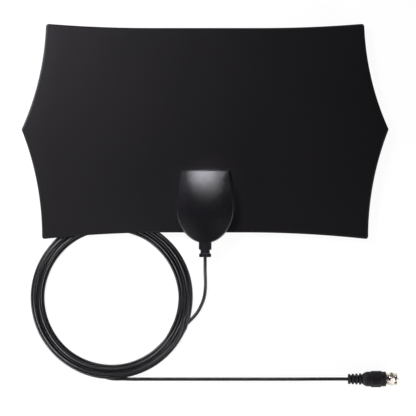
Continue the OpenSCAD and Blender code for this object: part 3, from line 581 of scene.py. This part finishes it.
def rearRings(f):
    # A tray: bottom, chamfer, wall and rim, then down inside to its floor. Past the panel's edge
    # the rim rises as a lip that meets the front cover.
    outer, inside = caseOutline(f, 0, 0, 0, 0), caseOutline(f, *[f["wall"]] * 4)
    rim = np.where(outer[:, 1] < f["panelEdge"] - 0.05, f["base"], f["rearHigh"])
    middle = np.array([0.0, (f["topY"] + f["endY"]) / 2])
    foot = movedIn(outer, f["chamfer"])

    def level(points, z):
        return np.column_stack([points, np.broadcast_to(z, len(points))])

    return np.stack([level(middle + s * (foot - middle), 0.0) for s in (0.003, 0.3, 0.6, 0.85, 1.0)]
                    + [level(movedIn(outer, f["chamfer"] * (1 - s)), f["chamfer"] * s) for s in (0.08, 0.92)]
                    + [level(outer, f["chamfer"] + 0.1), level(outer, rim - 0.08),
                       level(movedIn(outer, 0.08), rim), level(inside, rim), level(inside, f["wall"])]
                    + [level(middle + s * (inside - middle), f["wall"]) for s in (0.6, 0.003)])


rearShell = closedMesh("rearShell", [rearRings(caseFacts)], "antenna", caseAbs,
                       ("rear_cover",))


def cylinderRings(x, y, low, high, r, around=48):
    a = np.linspace(0, 2 * np.pi, around, endpoint=False)
    return np.stack([np.stack([x + r * np.cos(a), y + r * np.sin(a), np.full(around, z)], axis=1)
                     for z in (low, high)])


def recess(piece, rings):  # cuts closed shells out of a piece, and keeps the result as its mesh
    cutter = closedMesh("cutter", rings, "antenna", caseAbs)
    modifier = piece.modifiers.new("recess", "BOOLEAN")
    modifier.operation, modifier.solver, modifier.object = "DIFFERENCE", "EXACT", cutter
    bpy.context.view_layer.update()
    cut = bpy.data.meshes.new_from_object(piece.evaluated_get(bpy.context.evaluated_depsgraph_get()))
    piece.modifiers.clear()
    piece.data = cut
    cut.set_sharp_from_angle(angle=math.radians(35))
    bpy.data.objects.remove(cutter)


screwPlaces = [(side * x, y) for side in (1, -1) for x, y in caseFacts["screws"]]
recess(rearShell, [cylinderRings(x, y, -1.0, caseFacts["recessDeep"], caseFacts["recess"])
                   for x, y in screwPlaces])


# Screws in the foot

screwFacts = {
    "head": 2.3, "edge": 0.25, "low": 0.5, "high": 1.9, "dome": 0.22, "rim": 0.3,
    "slotHalf": 0.32, "slotLong": 1.35, "slotDeep": 1.0, "slotSoft": (0.08, 0.12),
    "shank": 1.2, "end": 11.9, "thread": 0.8, "threadDeep": 0.22,
}


def screwRings(f, x, y):
    # A round head with a soft edge, whose underside is pressed in along a cross, and a shank whose
    # radius rises and falls once per thread pitch as a spiral.
    a = np.linspace(0, 2 * np.pi, 96, endpoint=False)
    flat = f["head"] - f["edge"]
    r = np.concatenate([[0.01], np.linspace(0.1, 1.5, 15), np.linspace(1.6, flat, 4)])
    px, py = r[:, None] * np.cos(a), r[:, None] * np.sin(a)

    def within(half, soft, distance):
        return 1 - smoothStep(half - soft, half + soft, abs(distance))

    def arm(u, v):
        return within(f["slotHalf"], f["slotSoft"][0], u) * within(f["slotLong"], f["slotSoft"][1], v)

    cross = np.maximum(arm(px, py), arm(py, px))
    dome = f["dome"] * (r[:, None] / f["head"]) ** 2
    under = np.stack([px, py, f["low"] + dome + f["slotDeep"] * cross], axis=-1)
    steps = np.radians(np.linspace(15, 90, 5))[:, None]
    edge = flat + f["edge"] * np.sin(steps)
    rim = np.stack(np.broadcast_arrays(edge * np.cos(a), edge * np.sin(a),
                                       f["low"] + f["dome"] + f["rim"] * (1 - np.cos(steps))), axis=-1)
    z = np.linspace(f["high"] + 0.05, f["end"], 60)[:, None]
    wave = np.abs(((z - f["high"]) / f["thread"] + a / (2 * np.pi)) % 1 - 0.5) * 2
    shank = f["shank"] - f["threadDeep"] * wave
    upper = np.stack(np.broadcast_arrays(f["head"] * np.cos(a), f["head"] * np.sin(a), f["high"]), axis=-1)
    stem = np.stack(np.broadcast_arrays(shank * np.cos(a), shank * np.sin(a), z), axis=-1)
    return np.concatenate([under, rim, upper[None], stem]) + [x, y, 0]


closedMesh("coverScrews", [screwRings(screwFacts, x, y) for x, y in screwPlaces], "antenna", blackSteel,
           ("cover_screws",))
print("case made")


# Strain relief

reliefFacts = {
    "start": -88.6, "end": -101.85, "axis": 10.1,
    "block": (11.2, 6.4), "neck": (8.2, 5.4), "flange": (10.6, 6.4),  # widths and heights
    "blockEnd": -95.35, "flangeStart": -98.75, "step": (0.5, 0.45),
    "corner": 1.5, "endRound": 0.9,
    "spine": 1.9, "spineSoft": 0.5, "slotOut": 4.7, "slotSoft": 0.3, "slotDeep": 0.7,
    "slots": ((90.4, 94.6, 0.3), (99.2, 101.0, 0.25)),  # start, end and soft edge, down the Y axis
    "slotsPast": 1.5,  # slots are pressed in only this far and further from the axis's level
}


def reliefRings(f):
    # Each section is a rectangle with round corners. Its width and height step softly from the
    # block to the neck and out to the flange. Slots are pressed in on both sides of the spine.
    end, soft, (outer, inner) = f["end"], f["endRound"], f["step"]
    y = np.concatenate([np.linspace(f["start"], end + soft, 90),
                        end + soft * (1 - np.sin(np.radians(np.linspace(12, 90, 8))))])
    tip = np.clip((end + soft - y) / soft, 0, 1)
    rounding = soft * (1 - np.sqrt(1 - tip ** 2))
    toNeck = smoothStep(-f["blockEnd"] - outer, -f["blockEnd"] + inner, -y)
    toFlange = smoothStep(-f["flangeStart"] - inner, -f["flangeStart"] + outer, -y)
    wide, high = (f["block"][n] + (f["neck"][n] - f["block"][n]) * toNeck
                  + (f["flange"][n] - f["neck"][n]) * toFlange - 2 * rounding for n in (0, 1))
    r = f["corner"] - 0.3 * rounding
    # Once round a section: a is the side's direction and b the corner's, for x and for z.
    t = np.linspace(1, -1, 46)
    q = np.radians(np.arange(9, 90, 9.0))
    one, none = np.ones_like(t), np.zeros_like(t)
    s = np.linspace(1, -1, 10)[1:-1]
    ax = np.concatenate([t, -np.ones(9), -np.ones(8), -np.ones(9), -t, np.ones(9), np.ones(8), np.ones(9)])
    bx = np.concatenate([none, -np.sin(q), -np.ones(8), -np.cos(q), none, np.sin(q), np.ones(8), np.cos(q)])
    az = np.concatenate([one, np.ones(9), s, -np.ones(9), -one, -np.ones(9), -s, np.ones(9)])
    bz = np.concatenate([one, np.cos(q), np.zeros(8), -np.sin(q), -one, -np.cos(q), np.zeros(8), np.sin(q)])
    x = (wide / 2 - r)[:, None] * ax + r[:, None] * bx
    z = (high / 2 - r)[:, None] * az + r[:, None] * bz
    sunk = f["slotDeep"] * smoothStep(f["spine"] - f["spineSoft"], f["spine"], abs(x)) * (
        1 - smoothStep(f["slotOut"] - f["slotSoft"], f["slotOut"], abs(x)))
    y = y[:, None]
    along = sum(smoothStep(a, a + edge, -y) * (1 - smoothStep(b, b + edge, -y)) for a, b, edge in f["slots"])
    z = z - np.sign(z) * sunk * along * (abs(z) > f["slotsPast"])
    return np.stack([x, np.broadcast_to(y, x.shape), f["axis"] + z], axis=-1)


relief = closedMesh("cordRelief", [reliefRings(reliefFacts)], "antenna", reliefPvc,
                    ("strain_relief",), sharp=60)
# Between the slots the cord's own jacket shows as the spine.
partly(relief, cordPvc, lambda x, y, z: abs(x) < 0.8 * reliefFacts["spine"])
print("strain relief made")


# Plug. Its pieces are turned shapes round the plug's axis, which runs along X.

plugFacts = {
    "row": -208.55, "axis": 7.3, "start": 125.0, "long": 33.2, "cordHole": 3.6, "endRound": 0.8,
    "pitch": 3.2, "ribRear": 4.4, "ribFront": 5.0, "groove": 3.4, "ribbedEnd": 12.0, "lastGroove": 12.8,
    "ribAt": 0.31, "ribHalf": 0.36,        # middle and half width of a rib, as parts of the pitch
    "ribPowers": (3.2, 2.6),
    "windowAt": 0.84, "windowHalf": 0.15,  # the same of a window
    "window": 1.3, "windowTurn": 12.0, "windowsEnd": 11.2,
    "windowWide": (0.32, 0.62),            # radians from the window's middle to its soft end
    "flareStart": 12.3, "flareEnd": 17.2, "neck": 4.2, "grip": 6.5,
    "padAt": 7.4, "padLong": 9.4, "padWide": 5.8, "padHigh": 0.75, "padHollow": 0.22, "padTurn": 10.0,
    "shoulder": 5.1, "shoulderEnd": 35.7, "post": 3.2, "keeper": 4.2,
    "nutStart": 35.82, "nutLong": 7.0, "nutRound": 0.3, "hexLong": 4.4, "flats": 11.0, "hexTurn": 17.0,
    "chamfer": 0.42, "chamferSlope": 0.62, "collar": 5.2,
    "bore": 4.6, "thread": 0.8, "threadDeep": 0.3, "mouth": 0.5, "rearWall": 1.4, "play": 0.06,
}


def turned(f, x, r, angle):  # places points by distance along the plug, radius and angle from straight up
    return np.stack(np.broadcast_arrays(f["start"] + x, f["row"] - r * np.sin(angle),
                                        f["axis"] + r * np.cos(angle)), axis=-1)


def lathe(f, profile, around=72):  # a profile of (distance along, radius) carried round the axis
    x, r = np.array(profile, float).T
    return turned(f, x[:, None], r[:, None], np.linspace(0, 2 * np.pi, around, endpoint=False)[None, :])


def padDistance(f, x, angle):  # from the middle line of the nearest pad, over the boot's surface
    quarter = (angle - np.radians(f["padTurn"]) + np.pi / 4) % (np.pi / 2) - np.pi / 4
    past = np.abs(x - (f["flareEnd"] + f["padAt"])) - (f["padLong"] - f["padWide"]) / 2
    return np.hypot(np.maximum(past, 0), quarter * f["grip"])


def bootRings(f):
    # The outside radius is a row of ribs, each a superellipse over its part of the pitch, then a
    # quarter sine out to the grip. Between the ribs a window is sunk into the upper and lower side,
    # and four oval pads stand on the grip, a little hollow in the middle.
    long, soft, neck, last = f["long"], f["endRound"], f["neck"], f["lastGroove"]
    x = np.concatenate([np.linspace(0, last, 100), np.linspace(last + 0.05, long - soft, 90),
                        long - soft + soft * np.sin(np.radians(np.linspace(10, 90, 8)))])[:, None]
    a = np.linspace(0, 2 * np.pi, 144, endpoint=False)[None, :]
    place = (x / f["pitch"]) % 1.0
    rib = f["ribRear"] + (f["ribFront"] - f["ribRear"]) * np.clip(x / f["pitch"], 0, 3) / 3
    steep, full = f["ribPowers"]
    hump = np.clip(1 - np.abs((place - f["ribAt"]) / f["ribHalf"]) ** steep, 0, 1) ** (1 / full)
    side = (a - np.radians(f["windowTurn"])) % np.pi
    facing = 1 - smoothStep(*f["windowWide"], np.minimum(side, np.pi - side))
    between = np.clip(1 - ((place - f["windowAt"]) / f["windowHalf"]) ** 4, 0, 1) * (x < f["windowsEnd"])
    ribbed = f["groove"] + (rib - f["groove"]) * hump - f["window"] * facing * between
    flare = np.clip((x - f["flareStart"]) / (f["flareEnd"] - f["flareStart"]), 0, 1)
    smooth = neck + (f["grip"] - neck) * np.sin(np.pi / 2 * flare)
    r = np.where(x < f["ribbedEnd"], ribbed, np.maximum(smooth, np.where(x < last, ribbed, 0)))
    end = np.clip((x - long + soft) / soft, 0, 1)
    r = r - soft * (1 - np.sqrt(1 - end ** 2))
    away = padDistance(f, x, a) / (f["padWide"] / 2)
    dished = 1 - f["padHollow"] + f["padHollow"] * smoothStep(0.5, 0.9, away)
    r = r + f["padHigh"] * (1 - smoothStep(0.86, 1.0, away)) * dished * (x > f["flareEnd"] - 0.5)
    rear = turned(f, 0.0, np.array([[0.02], [f["cordHole"]]]), a)
    front = turned(f, long, np.array([[0.02]]), a)
    return np.concatenate([rear, turned(f, x, r, a), front])


def paintedShadeOn(x, y, z):  # painted shade: in the windows between the ribs and on the pads
    f = plugFacts
    along, angle = x - f["start"], np.arctan2(f["row"] - y, z - f["axis"])
    onPad = padDistance(f, along, angle) < 0.46 * f["padWide"]
    sunk = np.hypot(y - f["row"], z - f["axis"]) < f["groove"] - 0.1
    return onPad | (sunk & (along < f["windowsEnd"]))


plugBoot = closedMesh("plugBoot", [bootRings(plugFacts)], "antenna", bootRubber,
                      ("plug_boot",), sharp=60)
# The windows and the pads get the darker tone: painted shade.
partly(plugBoot, bootPaintedShade, paintedShadeOn)


def bodyProfile(f):
    # A shoulder with two fine grooves, the post that the nut turns on, and the flange that keeps it.
    start, shoulder, end, keeper = f["long"], f["shoulder"], f["shoulderEnd"], f["keeper"]
    flange = f["nutStart"] + f["rearWall"] + 0.12
    return [(start - 4, 0.02), (start - 4, 3.6), (start + 0.05, 3.6), (start + 0.05, 4.7), (start + 0.2, 5.0),
            (start + 0.4, shoulder), (start + 0.8, shoulder), (start + 0.95, 4.8), (start + 1.15, 4.8),
            (start + 1.3, shoulder), (end - 0.3, shoulder), (end - 0.08, 4.98), (end, 4.75),
            (end, f["post"]), (flange, f["post"]), (flange, keeper - 0.1), (flange + 0.1, keeper),
            (flange + 0.8, keeper), (flange + 0.9, keeper - 0.1), (flange + 0.9, 2.4), (flange - 1.0, 2.4),
            (flange - 1.0, 0.02)]


plugBody = closedMesh("plugBody", [lathe(plugFacts, bodyProfile(plugFacts))], "antenna", nickelPlate,
                      ("plug_body",))
# Of the bead in the post and of the pin: distance along the plug and radius.
beadProfile = [(34.0, 0.02), (34.0, 2.35), (38.1, 2.35), (38.24, 2.2), (38.2, 1.4), (37.9, 0.9), (37.9, 0.02)]
plugBead = closedMesh("plugBead", [lathe(plugFacts, beadProfile)], "antenna", whiteBead,
                      ("plug_insulator",))
pinProfile = [(34.2, 0.02), (34.2, 0.7), (37.9, 0.7), (38.1, 0.45), (44.1, 0.45), (44.35, 0.4), (44.5, 0.28),
              (44.6, 0.12), (44.62, 0.02)]
centrePin = closedMesh("centrePin", [lathe(plugFacts, pinProfile, 32)], "antenna", copperPin,
                       ("centre_pin",))


def nutRings(f):
    # Outside, the radius is the smaller of a hexagon's and two chamfer cones', and past the hexagon
    # a round collar. Inside, the bore's radius follows a spiral thread down to the rear wall.
    a = np.linspace(0, 2 * np.pi, 192, endpoint=False)[None, :]
    corner = f["flats"] / 2 / math.cos(math.pi / 6)
    turn = (a - math.radians(f["hexTurn"]) + math.pi / 6) % (math.pi / 3) - math.pi / 6
    hexagon = f["flats"] / 2 / np.cos(turn)
    start, hexLong, long, soft = f["nutStart"], f["hexLong"], f["nutLong"], f["nutRound"]
    x = np.concatenate([np.linspace(0, hexLong, 40), np.linspace(hexLong + 0.05, long - soft, 14),
                        long - soft + soft * np.sin(np.radians(np.linspace(15, 90, 6)))])[:, None]
    cone = f["flats"] / 2 - f["chamfer"] + f["chamferSlope"] * np.minimum(x, hexLong - x)
    outside = np.where(x <= hexLong, np.minimum(np.minimum(hexagon, cone), corner - 0.02), f["collar"])
    outside = np.maximum(outside, f["collar"] - 0.1 * (x <= hexLong))
    end = np.clip((x - long + soft) / soft, 0, 1)
    outside = outside - soft * (1 - np.sqrt(1 - end ** 2))
    depth = np.linspace(long - 0.02, f["rearWall"] + 0.05, 110)[:, None]
    wave = np.abs((depth / f["thread"] + a / (2 * np.pi)) % 1 - 0.5) * 2
    mouth = smoothStep(long - f["mouth"], long, depth)
    bore = f["bore"] - f["threadDeep"] * wave * (1 - mouth) - 0.02
    hole = f["post"] + f["play"]
    return np.concatenate([turned(f, start + x, outside, a), turned(f, start + depth, bore, a),
                           turned(f, start + f["rearWall"], np.array([[f["bore"] - 0.05], [hole]]), a),
                           turned(f, start, np.array([[hole]]), a)])


couplingNut = closedMesh("couplingNut", [nutRings(plugFacts)], "coupling_nut", nickelPlate,
                         ("coupling_nut",), band=True)
print("plug made")


# Floor, light and background

stageFacts = {
    "floor": "#f4f4f5", "floorMetres": 8.0,
    "glow": 0.92, "faint": 0.14,  # the floor's own light and its paleness, to the camera and to mirrors
    "sky": "#ffffff", "skyStrength": 0.02,
    "lamps": "#faf5ff",
}
# Softboxes in metres and watts: place, target, size, power and the opening of the grid in degrees.
lampFacts = {
    "keyLeft": ((-0.46, 0.30, 0.44), (-0.14, 0.08, 0.0), (0.34, 0.30), 0.71, 56),
    "snoot": ((-0.004, 0.35, 0.83), (0.001, -0.045, 0.014), (0.030, 0.03), 0.0024, 3.4),
    "coilFill": ((-0.26, -0.38, 0.52), (-0.090, -0.158, 0.003), (0.16, 0.16), 0.021, 18),
    "tailBack": ((0.01, 0.45, 0.40), (0.01, -0.212, 0.002), (0.20, 0.06), 0.022, 15),
    "plugFront": ((0.15, -0.55, 0.45), (0.148, -0.2085, 0.007), (0.30, 0.24), 0.36, 180),
    "plugBack": ((0.22, 0.36, 0.26), (0.148, -0.2085, 0.007), (0.30, 0.16), 0.20, 180),
    "nutTop": ((0.21, -0.2085, 0.50), (0.1645, -0.2085, 0.008), (0.04, 0.30), 0.045, 180),
    "lowLeft": ((-0.50, -0.42, 0.13), (-0.02, -0.08, 0.012), (0.50, 0.10), 2.8, 180),
    "lowRight": ((0.52, -0.36, 0.13), (0.02, -0.08, 0.012), (0.50, 0.10), 2.3, 180),
}


def makeStage(f):
    # The floor is white to the camera and to mirrors, from its own pale colour and a steady glow,
    # and keeps the shadow. To all other light it is plain pale matt.
    bpy.ops.mesh.primitive_plane_add(size=f["floorMetres"], location=(0, 0, 0))
    floor = bpy.context.object
    floor.name = "floor"
    material = bpy.data.materials.new("paleFloor")
    material.use_nodes = True
    tree = material.node_tree
    tree.nodes.clear()
    ray = addNode(tree, "LightPath", {})
    seen = addNode(tree, "Math", {"operation": "MAXIMUM"},
                   {0: ray.outputs["Is Camera Ray"], 1: ray.outputs["Is Glossy Ray"]})
    seen = addNode(tree, "Math", {"operation": "MAXIMUM"},
                   {0: seen.outputs["Value"], 1: ray.outputs["Is Transmission Ray"]})
    matt = addNode(tree, "BsdfDiffuse", {"Color": linear(f["floor"])})
    glow = addNode(tree, "Emission", {"Color": (1, 1, 1, 1), "Strength": f["glow"]})
    faint = addNode(tree, "BsdfDiffuse", {"Color": (f["faint"], f["faint"], f["faint"], 1)})
    white = addNode(tree, "AddShader", {}, {0: glow.outputs["Emission"], 1: faint.outputs["BSDF"]})
    mixed = addNode(tree, "MixShader", {}, {0: seen.outputs["Value"], 1: matt.outputs["BSDF"],
                                            2: white.outputs["Shader"]})
    addNode(tree, "OutputMaterial", {}, {"Surface": mixed.outputs["Shader"]})
    floor.data.materials.append(material)


def softbox(name, place, target, size, power, spread):
    data = bpy.data.lights.new(name, "AREA")
    data.shape, data.size, data.size_y = "RECTANGLE", size[0], size[1]
    data.energy = power
    data.spread = math.radians(spread)
    data.color = linear(stageFacts["lamps"])[:3]
    lamp = bpy.data.objects.new(name, data)
    bpy.context.scene.collection.objects.link(lamp)
    ahead = np.array(target) - np.array(place)
    ahead = ahead / np.linalg.norm(ahead)
    lamp.location = place
    lamp.rotation_euler = (math.acos(-ahead[2]), 0, math.atan2(-ahead[0], ahead[1]))


makeStage(stageFacts)
world = bpy.data.worlds.new("studio")
world.use_nodes = True
sky = world.node_tree.nodes["Background"].inputs
sky["Color"].default_value = linear(stageFacts["sky"])
sky["Strength"].default_value = stageFacts["skyStrength"]
bpy.context.scene.world = world
for lampName, lamp in lampFacts.items():
    softbox(lampName, *lamp)
bpy.context.scene.view_settings.view_transform = "Standard"
print("stage lit")
